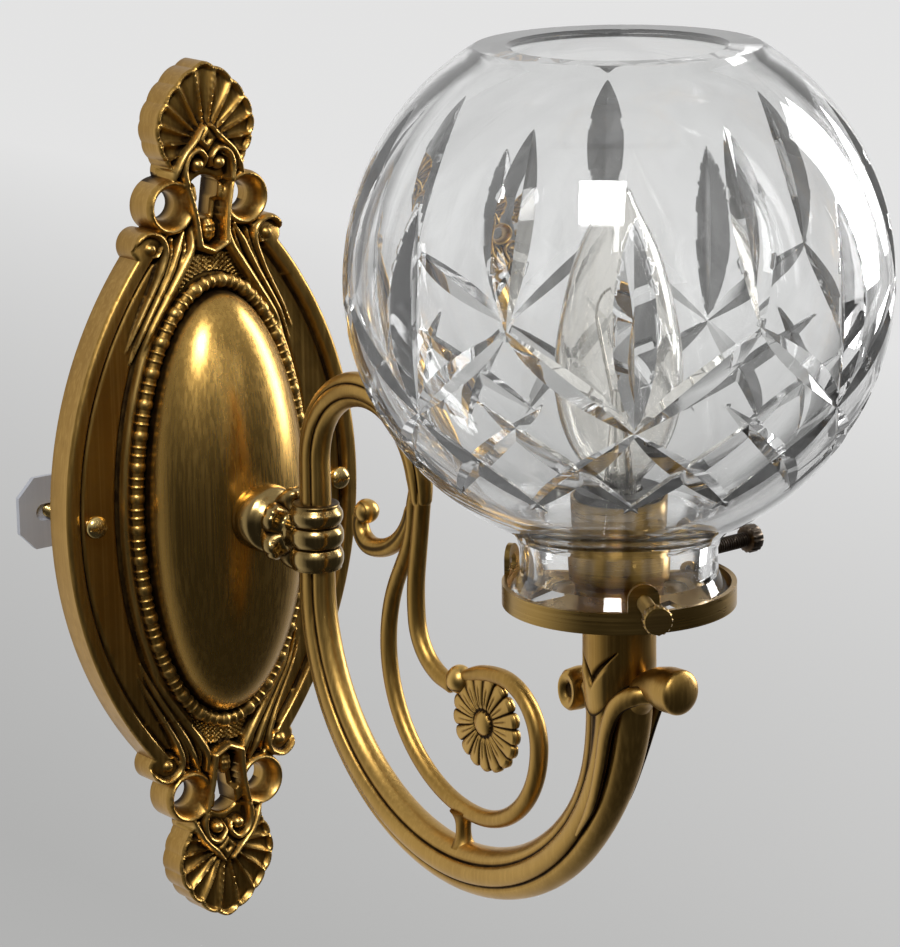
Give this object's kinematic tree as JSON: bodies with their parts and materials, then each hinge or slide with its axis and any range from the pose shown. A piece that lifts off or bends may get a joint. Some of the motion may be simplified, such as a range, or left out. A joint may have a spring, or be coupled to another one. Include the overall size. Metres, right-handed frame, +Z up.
{
  "type": "wall sconce",
  "caption": "Wall light with an oval backplate and pierced shell crests, a scrolled hollow arm, and a cut glass globe held by thumb screws in a tabbed ring over a candle lamp.",
  "frame": {"origin": "middle of the backplate, on the wall plane, level with the middle of the knuckle", "axes": "+Z up, +Y into the wall, so the light stands out towards -Y; +X to the right seen from the room"},
  "size_m": [0.1426, 0.2952, 0.2913],
  "materials": {
    "antique_brass": "satin antique brass with dark patina in the recesses",
    "polished_brass": "polished",
    "dark_bronze": "dark oxidised, knurled head",
    "zinc_steel": "zinc plated",
    "green_steel": "green",
    "bright_wire": "bright",
    "black_phenolic": "moulded",
    "black_insulation": "insulation",
    "white_insulation": "insulation",
    "orange_plastic": "moulded",
    "crystal": "clear cut crystal",
    "lamp_glass": "clear, thin"
  },
  "bodies": {
    "sconce": {"backplate": "antique_brass", "bead_ring": "antique_brass", "dome": "antique_brass", "dome_strap": "zinc_steel", "hub_nipple": "zinc_steel", "hub_washer": "zinc_steel", "hub_nut": "zinc_steel", "hub": "antique_brass", "knuckle": "antique_brass", "arm_tube": "antique_brass", "arm_crook": "antique_brass", "scroll_ring": "antique_brass", "scroll_curl": "antique_brass", "scroll_post": "antique_brass", "rosette": "antique_brass", "leaf_cup": "antique_brass", "holder": "antique_brass", "end_nipple": "zinc_steel", "end_nut": "polished_brass", "socket_cup": "polished_brass", "socket_insulator": "black_phenolic", "socket_shell": "polished_brass", "socket_contact": "polished_brass", "wire_live": "black_insulation", "wire_neutral": "white_insulation", "wire_connectors": "orange_plastic", "crossbar": "zinc_steel", "plate_screws": "polished_brass", "bar_nuts": "zinc_steel", "ground_screw": "green_steel"},
    "globe": {"glass_globe": "crystal"},
    "lamp": {"lamp_cap": "polished_brass", "lamp_tip": "black_phenolic", "lamp_glass": "lamp_glass", "lamp_mount": "lamp_glass", "lamp_wires": "bright_wire"},
    "thumb_screw_a": {"thumb_screw_a": "antique_brass"},
    "thumb_screw_b": {"thumb_screw_b": "dark_bronze"}
  },
  "joints": [
    {"name": "globe_lift", "type": "slide", "parent": "sconce", "child": "globe", "axis": [0, 0, 1], "range_m": [0, 0.115]},
    {"name": "lamp_turn", "type": "hinge", "parent": "sconce", "child": "lamp", "pos_m": [0, -0.1972, 0.06], "axis": [0, 0, 1], "continuous": true},
    {"name": "thumb_a_slide", "type": "slide", "parent": "sconce", "child": "thumb_screw_a", "axis": [-0.4772, -0.8788, 0], "range_m": [0, 0.0018]},
    {"name": "thumb_b_slide", "type": "slide", "parent": "sconce", "child": "thumb_screw_b", "axis": [0.9997, 0.0262, 0], "range_m": [-0.0014, 0.0004]}
  ]
}
